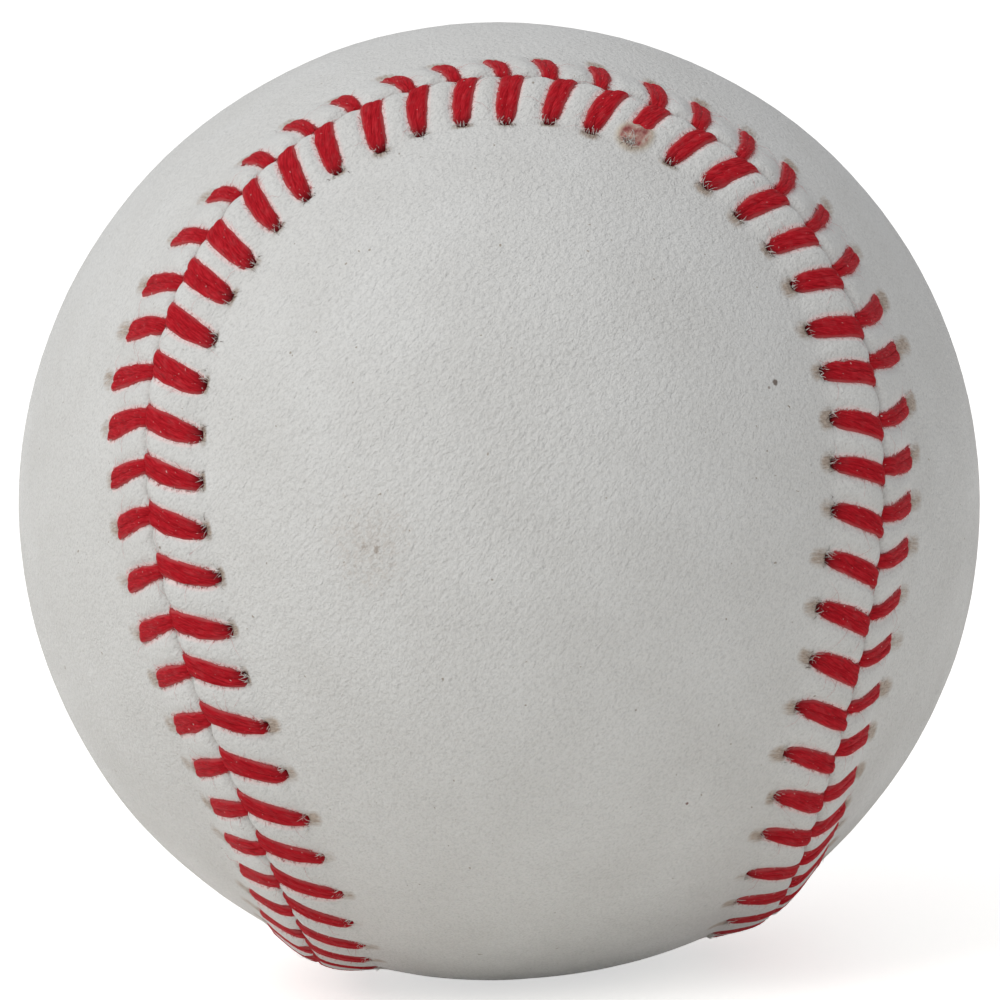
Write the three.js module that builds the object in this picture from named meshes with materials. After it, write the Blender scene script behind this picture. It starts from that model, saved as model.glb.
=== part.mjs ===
// A hand-stitched leather baseball: a cork and rubber pill, four windings, a moisture barrier,
// two figure-eight leather covers, and the one waxed thread that laces them together.
// Millimetres, +Z up, origin at the middle of the ball. The lower cover's lobes face -Y and +Y,
// the upper cover's lobes face +X and -X, and the covers' narrow necks lie at -Z and +Z.

import * as THREE from 'three';

// Ball and covers
const BALL_CIRCUMFERENCE = 228.6;
const LEATHER_THICKNESS = 1.2;
const RISE_WIDTH = 8;
const NECK_WIDTH = 32.9;
const SEAM_LEAN = THREE.MathUtils.degToRad(11.7);

// Stitching: how far the holes stand from the seam, and how far each V's point leads its holes
const STITCH_COUNT = 108;
const HOLE_DISTANCE = 4.1;
const FIRST_HOLE = 1.1;
const STITCH_LEAD = 1.45;

// Thread: flat underneath, with a crown, and drawn narrow where it passes through the leather
const THREAD_WIDTH = 1.4;
const THREAD_NECK = 1.1;
const THREAD_THICKNESS = 0.5;

// Layers under the covers, from the outside in; the first winding fills what the others leave
const BARRIER_THICKNESS = 0.35;
const FINISH_WINDING = 0.5;
const THIRD_WINDING = 2.0;
const SECOND_WINDING = 1.8;
const TAIL_OPENING = 3;

// Pill: a cork ball in two black rubber halves, a gasket and two red rubber halves
const PILL_DIAMETER = 34.9;
const RED_RUBBER = 2.4;
const BLACK_RUBBER = 4.0;
const GASKET_THICKNESS = 1.2;

// Clearances
const LAYER_GAP = 0.3;
const LEATHER_SEAT = 0.5;
const THREAD_EASE = 0.22;

// Facets: the round layers share one count, so that their faces lie parallel
const LAYER_SEGMENTS = 14;
const LAYER_ROWS = 8;
const PANEL_ROWS = 54;
const PANEL_COLUMNS = 6;

// Sizes that follow from the ones above; the covers rise along the seam by the room that the thread
// takes under them
const BALL_RADIUS = BALL_CIRCUMFERENCE / (2 * Math.PI);
const LEATHER_INSIDE = BALL_RADIUS - LEATHER_THICKNESS;
const BARRIER_OUTSIDE = LEATHER_INSIDE - LEATHER_SEAT;
const SEAM_RISE = THREAD_THICKNESS + 2 * THREAD_EASE - LEATHER_SEAT;
const THREAD_OVER = BALL_RADIUS + SEAM_RISE + THREAD_EASE;
const THREAD_UNDER = BARRIER_OUTSIDE + THREAD_EASE;
const HOLE_LENGTH = THREAD_NECK + 2 * THREAD_EASE;
const HOLE_WIDTH = THREAD_THICKNESS + 2 * THREAD_EASE;
const SEAM_GAP = THREAD_THICKNESS + 2 * THREAD_EASE;

// The two covers lie on either side of the seam, and a panel starts at the tip of one of its lobes
const LOWER = { side: -1, lobeTip: 0 };
const UPPER = { side: 1, lobeTip: 0.25 };

const LEATHER = { color: 0xdad9d3, roughness: 0.62, metalness: 0 };
const THREAD = { color: 0x9b1c26, roughness: 0.7, metalness: 0 };
const CORK = { color: 0x9a7350, roughness: 0.95, metalness: 0 };
const BLACK = { color: 0x1c1c1e, roughness: 0.75, metalness: 0 };
const RED = { color: 0xa83228, roughness: 0.7, metalness: 0 };
const GREY_WOOL = { color: 0x8c8a86, roughness: 0.95, metalness: 0 };
const WHITE_WOOL = { color: 0xe4e0d6, roughness: 0.95, metalness: 0 };
const COTTON = { color: 0xefece4, roughness: 0.9, metalness: 0 };
const COAT = { color: 0xd8dce0, roughness: 0.4, metalness: 0 };

// The seam on the ball, from the front lobe's tip once round to it again. Its wave comes from the
// width of the necks and from how far the seam leans off upright where it crosses the equator.
class SeamCurve extends THREE.Curve {
  constructor() {
    super();
    const neck = Math.tan(NECK_WIDTH / 2 / BALL_RADIUS);
    const lean = Math.tan(SEAM_LEAN);
    this.arcLengthDivisions = 4000;
    this.rise = 2 / (3 * neck + 2 * lean);
    this.swing = (1 + 2 * this.rise * lean) / 3;
  }

  getPoint(t, target = new THREE.Vector3()) {
    const u = 2 * Math.PI * t - Math.PI / 2;
    const x = Math.cos(u) - this.swing * Math.cos(3 * u);
    const y = Math.sin(u) + this.swing * Math.sin(3 * u);
    const z = -this.rise * Math.cos(2 * u);
    return target.set(x, y, z).setLength(BALL_RADIUS);
  }
}

const seam = new SeamCurve();
const SEAM_LENGTH = seam.getLength();
const STITCH_PITCH = SEAM_LENGTH / STITCH_COUNT;

// Where a stitch's holes stand along the seam, as a share of the seam's length
function holeShare(stitch) {
  return (FIRST_HOLE + stitch * STITCH_PITCH) / SEAM_LENGTH;
}

// A point beside the seam: a share of the seam's length, then distances across it (towards the
// upper cover), up to a radius, and forward along it
function besideSeam(share, across, radius, forward = 0) {
  const around = THREE.MathUtils.euclideanModulo(share, 1);
  const up = seam.getPointAt(around).normalize();
  const ahead = seam.getTangentAt(around);
  const aside = new THREE.Vector3().crossVectors(up, ahead).normalize();
  const angle = across / BALL_RADIUS;
  const point = up.multiplyScalar(Math.cos(angle)).addScaledVector(aside, Math.sin(angle));
  return point.addScaledVector(ahead, forward / BALL_RADIUS).setLength(radius);
}

// Collects corners and faces into one closed geometry; flip turns the faces over
class Skin {
  constructor() {
    this.corners = [];
    this.faces = [];
  }

  corner(point) {
    this.corners.push(point.x, point.y, point.z);
    return this.corners.length / 3 - 1;
  }

  triangle(a, b, c, flip) {
    this.faces.push(a, flip ? c : b, flip ? b : c);
  }

  quad(a, b, c, d, flip) {
    this.triangle(a, b, c, flip);
    this.triangle(a, c, d, flip);
  }

  // Fills between two closed loops of different counts; each loop has ids and rising shares
  zip(near, far, flip) {
    let i = 0;
    let j = 0;
    const id = (loop, k) => loop.ids[k % loop.ids.length];
    const share = (loop, k) => loop.shares[k % loop.ids.length] + Math.floor(k / loop.ids.length);
    while (i < near.ids.length || j < far.ids.length) {
      const nearIsNext = share(near, i + 1) <= share(far, j + 1);
      const stepNear = j === far.ids.length || (i < near.ids.length && nearIsNext);
      if (stepNear) {
        this.triangle(id(near, i), id(near, i + 1), id(far, j), flip);
        i += 1;
      } else {
        this.triangle(id(near, i), id(far, j + 1), id(far, j), flip);
        j += 1;
      }
    }
  }

  geometry() {
    const geometry = new THREE.BufferGeometry();
    geometry.setAttribute('position', new THREE.Float32BufferAttribute(this.corners, 3));
    geometry.setIndex(this.faces);
    geometry.computeVertexNormals();
    return geometry;
  }
}

// One face of a cover, at a depth below its grain side: the rolled edge along the seam, the row of
// awl holes, the shoulder where the rise runs out, and the panel from one lobe across to its mirror
function coverFace(skin, cover, depth) {
  const flip = (cover.side < 0) !== (depth > 0);
  const edge = { ids: [], shares: [] };
  const holesNear = { ids: [], shares: [] };
  const holesFar = { ids: [], shares: [] };
  const shoulder = { ids: [], shares: [] };
  const raised = BALL_RADIUS + SEAM_RISE - depth;
  const level = BALL_RADIUS - depth;

  function add(loop, share, distance, radius, forward = 0) {
    const point = besideSeam(share, cover.side * distance, radius, forward);
    loop.ids.push(skin.corner(point));
    loop.shares.push(share + forward / SEAM_LENGTH);
  }

  const firstStitch = Math.ceil((cover.lobeTip * SEAM_LENGTH - FIRST_HOLE) / STITCH_PITCH);
  for (let k = 0; k < STITCH_COUNT; k += 1) {
    const share = holeShare(firstStitch + k);
    add(edge, share, SEAM_GAP / 2, raised);
    for (const end of [-1, 1]) {
      const forward = end * HOLE_LENGTH / 2;
      add(holesNear, share, HOLE_DISTANCE - HOLE_WIDTH / 2, raised, forward);
      add(holesFar, share, HOLE_DISTANCE + HOLE_WIDTH / 2, raised, forward);
    }
  }
  for (let row = 0; row < PANEL_ROWS; row += 1) {
    add(shoulder, cover.lobeTip + row / PANEL_ROWS, RISE_WIDTH, level);
  }

  skin.zip(edge, holesNear, flip);
  skin.zip(holesFar, shoulder, flip);
  const corners = holesNear.ids.length;
  for (let k = 1; k < corners; k += 2) {
    const next = (k + 1) % corners;
    skin.quad(holesNear.ids[k], holesNear.ids[next], holesFar.ids[next], holesFar.ids[k], flip);
  }
  fillPanel(skin, shoulder.ids, level, flip);
  return { edge: edge.ids, holesNear: holesNear.ids, holesFar: holesFar.ids };
}

// The panel inside the shoulder: rows across it, each from one side of the strip to its mirror
function fillPanel(skin, ids, radius, flip) {
  const count = ids.length;
  const at = (id) => new THREE.Vector3().fromArray(skin.corners, 3 * id);
  const rows = [];
  for (let k = 1; k < count / 2; k += 1) {
    const from = at(ids[k]);
    const to = at(ids[count - k]);
    const row = [ids[k]];
    for (let column = 1; column < PANEL_COLUMNS; column += 1) {
      const point = from.clone().lerp(to, column / PANEL_COLUMNS).setLength(radius);
      row.push(skin.corner(point));
    }
    row.push(ids[count - k]);
    rows.push(row);
  }
  for (let column = 0; column < PANEL_COLUMNS; column += 1) {
    const first = rows[0];
    const last = rows[rows.length - 1];
    skin.triangle(ids[0], first[column], first[column + 1], flip);
    skin.triangle(ids[count / 2], last[column + 1], last[column], flip);
    for (let k = 1; k < rows.length; k += 1) {
      const before = rows[k - 1];
      const row = rows[k];
      skin.quad(before[column], row[column], row[column + 1], before[column + 1], flip);
    }
  }
}

// A cover: its grain face, its flesh face, the edge along the seam and the walls of its holes
function coverGeometry(cover) {
  const skin = new Skin();
  const flip = cover.side < 0;
  const outer = coverFace(skin, cover, 0);
  const inner = coverFace(skin, cover, LEATHER_THICKNESS);
  for (let k = 0; k < STITCH_COUNT; k += 1) {
    const next = (k + 1) % STITCH_COUNT;
    skin.quad(inner.edge[k], inner.edge[next], outer.edge[next], outer.edge[k], flip);
    const a = 2 * k;
    const b = a + 1;
    const rim = (face) => [face.holesNear[a], face.holesNear[b], face.holesFar[b], face.holesFar[a]];
    const top = rim(outer);
    const bottom = rim(inner);
    for (let wall = 0; wall < 4; wall += 1) {
      const turn = (wall + 1) % 4;
      skin.quad(top[wall], top[turn], bottom[turn], bottom[wall], flip);
    }
  }
  return skin.geometry();
}

// One three-sided section of the thread: its flat back and front corners and its crown, which
// stands a thread's thickness up and across from them
function threadSection(share, forward, across, crownAcross, radius, width) {
  return {
    back: besideSeam(share, across, radius, forward - width / 2),
    front: besideSeam(share, across, radius, forward + width / 2),
    crown: besideSeam(share, crownAcross, radius + THREAD_THICKNESS, forward),
  };
}

// One leg of the lacing: out of its hole, over the leather to the seam, down between the covers, and
// under the other cover to the next hole there. The V's two points stand half a pitch apart.
function threadLeg(stitch, cover) {
  const share = holeShare(stitch);
  const lead = STITCH_LEAD - cover.side * STITCH_PITCH / 4;
  const half = cover.side * THREAD_THICKNESS / 2;
  const hole = cover.side * HOLE_DISTANCE;
  const nextStitch = cover === LOWER ? stitch + 1 : stitch;
  const nextShare = holeShare(nextStitch);
  return [
    threadSection(share, 0, hole - half, hole + half, THREAD_OVER, THREAD_NECK),
    threadSection(share, lead, half, -half, THREAD_OVER, THREAD_WIDTH),
    threadSection(share, lead, half, -half, THREAD_UNDER, THREAD_NECK),
    threadSection(nextShare, 0, -hole - half, -hole + half, THREAD_UNDER, THREAD_NECK),
  ];
}

// The whole thread, closed on itself where its two ends are buried under the covers. It turns over in
// each hole, so the order of a section's corners changes with the side that its leg lies on.
function threadGeometry() {
  const skin = new Skin();
  const rings = [];
  for (let stitch = 0; stitch < STITCH_COUNT; stitch += 1) {
    for (const section of threadLeg(stitch, LOWER)) {
      rings.push([section.back, section.crown, section.front].map((point) => skin.corner(point)));
    }
    for (const section of threadLeg(stitch + 1, UPPER)) {
      rings.push([section.crown, section.back, section.front].map((point) => skin.corner(point)));
    }
  }
  rings.forEach((ring, k) => {
    const next = rings[(k + 1) % rings.length];
    for (let side = 0; side < 3; side += 1) {
      const turn = (side + 1) % 3;
      skin.quad(ring[side], ring[turn], next[turn], next[side]);
    }
  });
  return skin.geometry();
}

// Points on an arc about the middle of the ball, from one latitude to another
function arcPoints(radius, from, to, rows) {
  const points = [];
  for (let row = 0; row <= rows; row += 1) {
    const latitude = THREE.MathUtils.lerp(from, to, row / rows);
    points.push(new THREE.Vector2(radius * Math.cos(latitude), radius * Math.sin(latitude)));
  }
  return points;
}

// Turns a profile about Z; its first and last points are on the axis, or it closes on itself
function turned(profile) {
  return new THREE.LatheGeometry(profile, LAYER_SEGMENTS).rotateX(Math.PI / 2);
}

function sphereGeometry(radius) {
  const profile = arcPoints(radius, -Math.PI / 2, Math.PI / 2, LAYER_ROWS);
  profile[0].x = 0;
  profile[LAYER_ROWS].x = 0;
  return turned(profile);
}

// A layer all round the ball, with the small opening at one pole where the yarn's tail comes out
function layerGeometry(outside, inside) {
  const south = -Math.PI / 2;
  const north = Math.PI / 2;
  const outerArc = arcPoints(outside, south, north, LAYER_ROWS);
  const innerArc = arcPoints(inside, north, south, LAYER_ROWS);
  const tail = TAIL_OPENING / 2;
  outerArc[LAYER_ROWS].set(tail, Math.sqrt(outside ** 2 - tail ** 2));
  innerArc[0].set(tail, Math.sqrt(inside ** 2 - tail ** 2));
  outerArc[0].x = 0;
  innerArc[LAYER_ROWS].x = 0;
  return turned([...outerArc, ...innerArc]);
}

// A moulded rubber half: a cup with its flat rim a little above the equator
function cupGeometry(outside, inside, rimHeight) {
  const north = Math.PI / 2;
  const rows = LAYER_ROWS / 2;
  const innerArc = arcPoints(inside, north, 0, rows);
  const outerArc = arcPoints(outside, 0, north, rows);
  innerArc[0].x = 0;
  outerArc[rows].x = 0;
  innerArc[rows].set(Math.sqrt(inside ** 2 - rimHeight ** 2), rimHeight);
  outerArc[0].set(Math.sqrt(outside ** 2 - rimHeight ** 2), rimHeight);
  return turned([...innerArc, ...outerArc]);
}

function gasketGeometry(outside, inside) {
  const half = GASKET_THICKNESS / 2;
  return turned([
    new THREE.Vector2(inside, -half),
    new THREE.Vector2(outside, -half),
    new THREE.Vector2(outside, half),
    new THREE.Vector2(inside, half),
    new THREE.Vector2(inside, -half),
  ]);
}

const ball = new THREE.Group();

function addPiece(name, geometry, finish) {
  const mesh = new THREE.Mesh(geometry, new THREE.MeshStandardMaterial(finish));
  mesh.name = name;
  ball.add(mesh);
  return mesh;
}

addPiece('lower_cover', coverGeometry(LOWER), LEATHER);
addPiece('upper_cover', coverGeometry(UPPER), LEATHER);
addPiece('stitch_thread', threadGeometry(), THREAD);

// The layers, each inside the one before, with their openings at the top and the bottom in turn
const pillRadius = PILL_DIAMETER / 2;
const layers = [
  { name: 'moisture_barrier', thickness: BARRIER_THICKNESS, finish: COAT },
  { name: 'finish_winding', thickness: FINISH_WINDING, finish: COTTON },
  { name: 'third_winding', thickness: THIRD_WINDING, finish: GREY_WOOL },
  { name: 'second_winding', thickness: SECOND_WINDING, finish: WHITE_WOOL },
];
let outside = BARRIER_OUTSIDE;
layers.forEach((layer, k) => {
  const mesh = addPiece(layer.name, layerGeometry(outside, outside - layer.thickness), layer.finish);
  mesh.rotation.x = k * Math.PI;
  outside -= layer.thickness + LAYER_GAP;
});
addPiece('first_winding', layerGeometry(outside, pillRadius + LAYER_GAP), GREY_WOOL);

// The pill
const blackRadius = pillRadius - RED_RUBBER - LAYER_GAP;
const corkRadius = blackRadius - BLACK_RUBBER - LAYER_GAP;
const halves = [
  { name: 'upper', turn: 0 },
  { name: 'lower', turn: Math.PI },
];
for (const half of halves) {
  const red = cupGeometry(pillRadius, pillRadius - RED_RUBBER, LAYER_GAP / 2);
  addPiece(`red_rubber_shell_${half.name}`, red, RED).rotation.x = half.turn;
  const black = cupGeometry(blackRadius, blackRadius - BLACK_RUBBER, GASKET_THICKNESS / 2 + LAYER_GAP);
  addPiece(`black_rubber_shell_${half.name}`, black, BLACK).rotation.x = half.turn;
}
addPiece('rubber_gasket', gasketGeometry(blackRadius, blackRadius - BLACK_RUBBER), RED);
addPiece('cork_core', sphereGeometry(corkRadius), CORK);

export default ball;
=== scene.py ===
"""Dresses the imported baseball: grained leather covers, two-strand waxed stitches and their fuzz.

Sizes are in millimetres until a mesh is made. Near the seam, places are given along it, across it
(towards the upper cover) and up from the ball's round surface.
"""

import math
from dataclasses import dataclass

import bpy
import numpy as np
from mathutils import Matrix, Vector


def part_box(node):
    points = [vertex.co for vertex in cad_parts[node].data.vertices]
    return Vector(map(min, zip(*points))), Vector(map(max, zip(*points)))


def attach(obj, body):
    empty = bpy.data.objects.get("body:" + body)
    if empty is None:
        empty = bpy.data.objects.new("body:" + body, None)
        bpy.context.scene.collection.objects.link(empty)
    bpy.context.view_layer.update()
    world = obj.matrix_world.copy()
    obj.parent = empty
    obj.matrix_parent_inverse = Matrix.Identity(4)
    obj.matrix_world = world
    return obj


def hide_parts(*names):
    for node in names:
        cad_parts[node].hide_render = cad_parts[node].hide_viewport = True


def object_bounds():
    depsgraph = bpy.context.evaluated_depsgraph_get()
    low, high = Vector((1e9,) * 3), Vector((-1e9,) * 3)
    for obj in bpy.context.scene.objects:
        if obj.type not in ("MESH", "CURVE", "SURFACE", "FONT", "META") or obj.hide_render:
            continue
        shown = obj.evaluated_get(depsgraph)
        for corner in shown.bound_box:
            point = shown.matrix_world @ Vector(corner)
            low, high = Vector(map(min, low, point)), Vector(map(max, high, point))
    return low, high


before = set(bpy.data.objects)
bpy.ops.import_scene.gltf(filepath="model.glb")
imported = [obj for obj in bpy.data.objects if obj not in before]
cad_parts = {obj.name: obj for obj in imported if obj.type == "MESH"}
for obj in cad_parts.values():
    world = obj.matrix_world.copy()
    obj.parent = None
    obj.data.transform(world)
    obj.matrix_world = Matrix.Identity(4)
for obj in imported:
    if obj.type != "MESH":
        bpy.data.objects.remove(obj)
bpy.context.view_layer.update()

MM = 0.001

# The ball and its seam; the lower cover's two lobes reach the ball's full width along Y
lower_low, lower_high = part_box("lower_cover")
BALL_RADIUS = (lower_high.y - lower_low.y) / 2 / MM
NECK_WIDTH = 32.9
SEAM_LEAN = math.radians(11.7)
STITCHES = 108
EVERY_STITCH = np.arange(STITCHES)
FIRST_HOLE = 1.23
LEATHER_THICKNESS = 1.2
UNDER_LEATHER = -1.46

# The seam strays towards the upper cover at the photograph's lower right, over these stitches
STRAY = 1.0
STRAY_STARTS = (15, 24)
STRAY_ENDS = (32, 45)

# The ridge along the seam, and the covers' edges on it
SEAM_GAP = 0.01
RIDGE_HEIGHT = 0.80
RIDGE_TOP = 0.5
RIDGE_FOOT = 4.8
TUCK_WIDTH = 0.9
SCALLOP = 0.22
SCALLOP_REACH = 1.4
EDGE_UNDERCUT = 0.05

# The puffs between the legs: their flanks in shares of half a gap, and where they begin and end
PUFF_HEIGHT = 0.30
PUFF_FLANK = (0.28, 0.85)
PUFF_START = (0, 0.6)
PUFF_END = (3.0, 5.4)

# The relief of a whole cover, and the flat that the lower neck has lain on
LUMP_HEIGHT = 0.035
CREASE_HEIGHT = 0.007
NECK_FLAT = 0.5
NECK_FLAT_ANGLE = math.radians(17)

# An awl hole: its ramp under the leg, its far wall, its sides in shares of its half width, and its lip
PIT_RAMP = (-0.6, -0.05)
PIT_WALL = (0.02, 0.20)
PIT_SIDES = (0.7, 1.3)
LIP_HEIGHT = 0.07
LIP_DISTANCE = 0.42
LIP_WIDTH = 0.22
LIP_START = (-0.15, 0.2)

# The sewer's hand, set at a few stitches: the stitch's number, how far its hole has drifted along
# the seam, the hole's distance from it, how far ahead the leg meets it, the leg's width and the slant of
# its outer end, the waxy smear beyond the hole: its length and its shift, and how grimy the hole is,
# which also sets how much painted shade its pit and the lower cover's leg end get
DRIFT, DISTANCE, LEAD, WIDTH, SLANT, SMEAR, SMEAR_SHIFT, GRIME_AND_SHADE = range(1, 9)
LOWER_SEWING = [
    (-23, -1.20, 4.20, 2.90, 1.12, 0.2, 2.0, 0.1, 0.1),
    (-20, -1.00, 4.20, 2.25, 1.10, 0.3, 2.0, 0.1, 0.3),
    (-16, -0.80, 4.30, 1.85, 1.04, 0.4, 0.9, 0.1, 0.9),
    (-13, -0.60, 4.40, 2.10, 1.04, 0.4, 0.6, 0.1, 1.0),
    (-9, 0.00, 4.40, 1.40, 1.12, 0.4, 0.5, 0.0, 1.0),
    (-6, 0.10, 4.90, 1.50, 0.98, 0.2, 0.5, 0.0, 1.0),
    (-1, 0.50, 4.60, 1.00, 0.92, 0.0, 0.6, 0.0, 1.0),
    (3, 0.05, 4.80, 1.25, 1.00, -0.2, 0.6, 0.0, 1.0),
    (7, 0.60, 4.40, 0.60, 1.00, -0.3, 1.2, 0.0, 1.0),
    (11, 0.75, 4.45, 0.80, 0.94, -0.3, 1.7, 0.0, 1.0),
    (14, 0.40, 4.60, 1.20, 0.98, -0.1, 1.8, 0.0, 1.0),
    (17, 0.15, 4.40, 1.10, 0.98, 0.3, 1.7, -0.1, 0.7),
    (20, 0.05, 4.25, 1.20, 0.98, 0.5, 1.9, -0.2, 0.7),
    (23, 1.60, 4.35, 1.20, 1.08, 0.5, 1.9, -0.2, 0.7),
    (40, 0.00, 4.30, 1.20, 1.00, 0.0, 0.9, 0.0, 0.1),
]
UPPER_SEWING = [
    (-24, -2.40, 4.40, 1.40, 1.35, 0.2, 1.8, 0.5, 0.1),
    (-21, -1.10, 4.20, 1.10, 1.18, 0.2, 1.8, 0.5, 0.1),
    (-18, -0.45, 4.15, 0.80, 0.98, 0.3, 1.8, 0.4, 0.1),
    (-13, 0.90, 4.70, 0.25, 1.02, 0.3, 1.7, 0.3, 0.2),
    (-10, 0.85, 5.50, 0.30, 1.08, 0.3, 1.6, 0.1, 0.2),
    (-8, 0.15, 4.70, 0.20, 1.05, 0.3, 1.6, -0.1, 0.2),
    (-6, 0.05, 3.80, 0.45, 0.85, 0.3, 1.6, -0.3, 0.2),
    (0, -0.15, 3.75, 0.60, 0.86, 0.3, 1.6, -0.4, 0.3),
    (3, -0.25, 4.65, 0.90, 0.95, 0.2, 1.7, -0.4, 0.5),
    (6, -0.50, 5.45, 1.20, 0.90, 0.2, 1.8, -0.4, 0.8),
    (10, -0.75, 4.90, 1.35, 0.92, 0.0, 2.3, -0.4, 1.0),
    (12, -0.30, 4.50, 1.15, 0.96, 0.0, 2.3, -0.3, 1.0),
    (14, -1.10, 4.30, 1.30, 0.95, -0.1, 2.2, -0.1, 1.0),
    (16, -0.80, 4.40, 0.95, 0.95, -0.1, 2.1, 0.0, 1.0),
    (18, 0.05, 4.20, 0.20, 1.06, -0.1, 1.8, 0.2, 1.0),
    (20, 1.10, 4.50, -0.50, 1.20, 0.0, 1.8, 0.3, 1.0),
    (23, 1.30, 4.60, -0.60, 1.25, 0.0, 1.8, 0.3, 1.0),
    (40, 0.00, 4.30, 0.80, 1.00, 0.0, 1.7, 0.0, 0.3),
]

# How much one stitch differs from the next
DRIFT_SPREAD = 0.10
DISTANCE_SPREAD = 0.13
LEAD_SPREAD = 0.12
WIDTH_SPREAD = 0.06
PARTING_RANGE = (0.32, 0.47)
TWIST_SPREAD = 0.10
SOIL_MEAN = 0.88
SOIL_SPREAD = 0.18
SOIL_RANGE = (0.4, 1)
SMEAR_SPREAD = 0.2
SMEAR_SHIFT_SPREAD = 0.12

# A leg from its hole to the seam: share of the way out to the hole, height over the ridge, width and
# thickness
LOWER_LEG = [
    (0.99, -1.10, 0.30, 0.30),
    (0.99, -0.60, 0.38, 0.45),
    (0.97, -0.26, 0.50, 0.80),
    (0.86, -0.09, 0.78, 1.00),
    (0.62, -0.06, 0.96, 1.00),
    (0.36, -0.06, 1.02, 1.00),
    (0.15, -0.06, 1.00, 1.00),
    (0.02, -0.09, 0.94, 0.85),
    (-0.03, -0.40, 0.90, 0.35),
    (-0.03, -1.05, 0.60, 0.35),
]
UPPER_LEG = [
    (1.00, -1.10, 0.60, 0.30),
    (1.00, -0.55, 0.80, 0.40),
    (0.99, -0.24, 0.92, 0.75),
    (0.90, -0.08, 1.02, 1.00),
    (0.60, -0.07, 0.98, 1.00),
    (0.36, -0.08, 0.88, 1.00),
    (0.15, -0.10, 0.75, 1.00),
    (0.03, -0.16, 0.66, 0.85),
    (-0.03, -0.40, 0.62, 0.35),
    (-0.03, -1.05, 0.60, 0.35),
]
LEG_CURVE = 1.45
LEG_TURN = 0.10
SLANT_REACH = (0.4, 1.0)

# The two strands of a leg, and how their yarn lies
STRAND_THICKNESS = 0.35
STRAND_WIDTH = 0.63
STRAND_SQUARE = 0.9
STRAND_RAGGED = 0.045
STRAND_EDGE = (0.55, 0.98)
STRAND_VARIETY = 3.7
STRAND_UV = "along_and_round"
YARN_GIRTH = 2.2
YARN_TWIST = 0.13

# Marks on the leather: the smear past a hole, the darkening in it, painted shade in the pits and at a
# cover's edge, and painted red light from the thread beside the legs
CLEAN_SMEAR = 0.55
SMEAR_BEND = (0, 1.5)
SMEAR_START = (-0.3, 0.1)
SMEAR_END = (0.45, 1)
SMEAR_VARIETY = 7.3
# Darkening beside a hole and how far past it it reaches, and the pit depth that gets full painted shade
HOLE_SIDE_DARKENING = 1.2
HOLE_SIDE_DARKENING_REACH = 0.9
DARK_DEPTH = 0.5
# Painted shade along a cover's edge at the seam, its width, and the painted shade on the cut edge down in
# the seam gap
EDGE_SHADE = 0.33
EDGE_SHADE_WIDTH = 0.10
EDGE_DARK = 0.3
# How far the thread's painted red light reaches on the leather
RED_BOUNCE_REACH = 0.5

# The stitch whose hole the wax has clogged, and the lump's middle and half width along and past the hole
WAXED_STITCH = 3
WAX_HEIGHT = 0.42
WAX_ALONG = (0.1, 1.2)
WAX_PAST = (-0.9, 1.35)

# Marks that the leather has picked up: longitude from the front, latitude, radius, how much the grain
# breaks the mark up, strength and colour
MARKS = [
    (33.0, 17.2, 0.32, 1.0, 0.85, (0.11, 0.07, 0.045)),
    (31.9, 16.7, 0.15, 1.0, 0.60, (0.16, 0.10, 0.07)),
    (19.7, -32.3, 0.18, 1.0, 0.85, (0.14, 0.05, 0.035)),
    (-19.0, 3.1, 0.30, 2.0, 0.45, (0.22, 0.15, 0.10)),
    (-17.6, 2.7, 0.40, 3.0, 0.45, (0.22, 0.15, 0.10)),
    (-18.3, 3.2, 3.6, 5.0, 0.15, (0.36, 0.25, 0.17)),
    (-18.6, 4.0, 4.5, 1.0, 0.035, (0.45, 0.33, 0.24)),
]

# Mesh counts; a cover's fine band has columns in its rolled edge, on its flank, over its holes and beyond
SAMPLES_PER_STITCH = 20
BAND_WIDTH = 9.0
HOLE_BAND = (3.3, 5.2)
ROLL_COLUMNS = 6
FLANK_COLUMNS = 10
HOLE_COLUMNS = 14
FOOT_COLUMNS = 7
FLESH_INSET = 0.5
RING_STEP = 1.1
PANEL_SPOKES = 270
PANEL_COLUMNS = 24
STRAND_SIDES = 12
LEG_RINGS = 16
HIDDEN_RINGS = 2
HAIR_RINGS = 3
HAIR_SIDES = 3
HAIR_TAPER = 0.75

# The share of the way along a leg at each of its rings, which is 1 under the leather
LEG_SHARES = np.clip(np.arange(LEG_RINGS + HIDDEN_RINGS) / (LEG_RINGS - 1), 0, 1)
STRAND_ANGLES = np.linspace(-math.pi / 2, 3 * math.pi / 2, STRAND_SIDES, endpoint=False)

SEED = 20
rng = np.random.default_rng(SEED)


def unit(vectors):
    return vectors / np.linalg.norm(vectors, axis=-1, keepdims=True)


def smooth(low, high, value):
    share = np.clip((value - low) / (high - low), 0, 1)
    return share * share * (3 - 2 * share)


# The seam: its wave comes from the necks' width and from its lean where it crosses the equator
neck_slope = math.tan(NECK_WIDTH / 2 / BALL_RADIUS)
lean_slope = math.tan(SEAM_LEAN)
SEAM_RISE = 2 / (3 * neck_slope + 2 * lean_slope)
SEAM_SWING = (1 + 2 * SEAM_RISE * lean_slope) / 3
SEAM_TABLE = 20000


def seam_wave(u):
    x = np.cos(u) - SEAM_SWING * np.cos(3 * u)
    y = np.sin(u) + SEAM_SWING * np.sin(3 * u)
    z = -SEAM_RISE * np.cos(2 * u)
    return np.stack([x, y, z], axis=-1)


def seam_slope(u):
    x = -np.sin(u) + 3 * SEAM_SWING * np.sin(3 * u)
    y = np.cos(u) + 3 * SEAM_SWING * np.cos(3 * u)
    z = 2 * SEAM_RISE * np.sin(2 * u)
    return np.stack([x, y, z], axis=-1)


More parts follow.
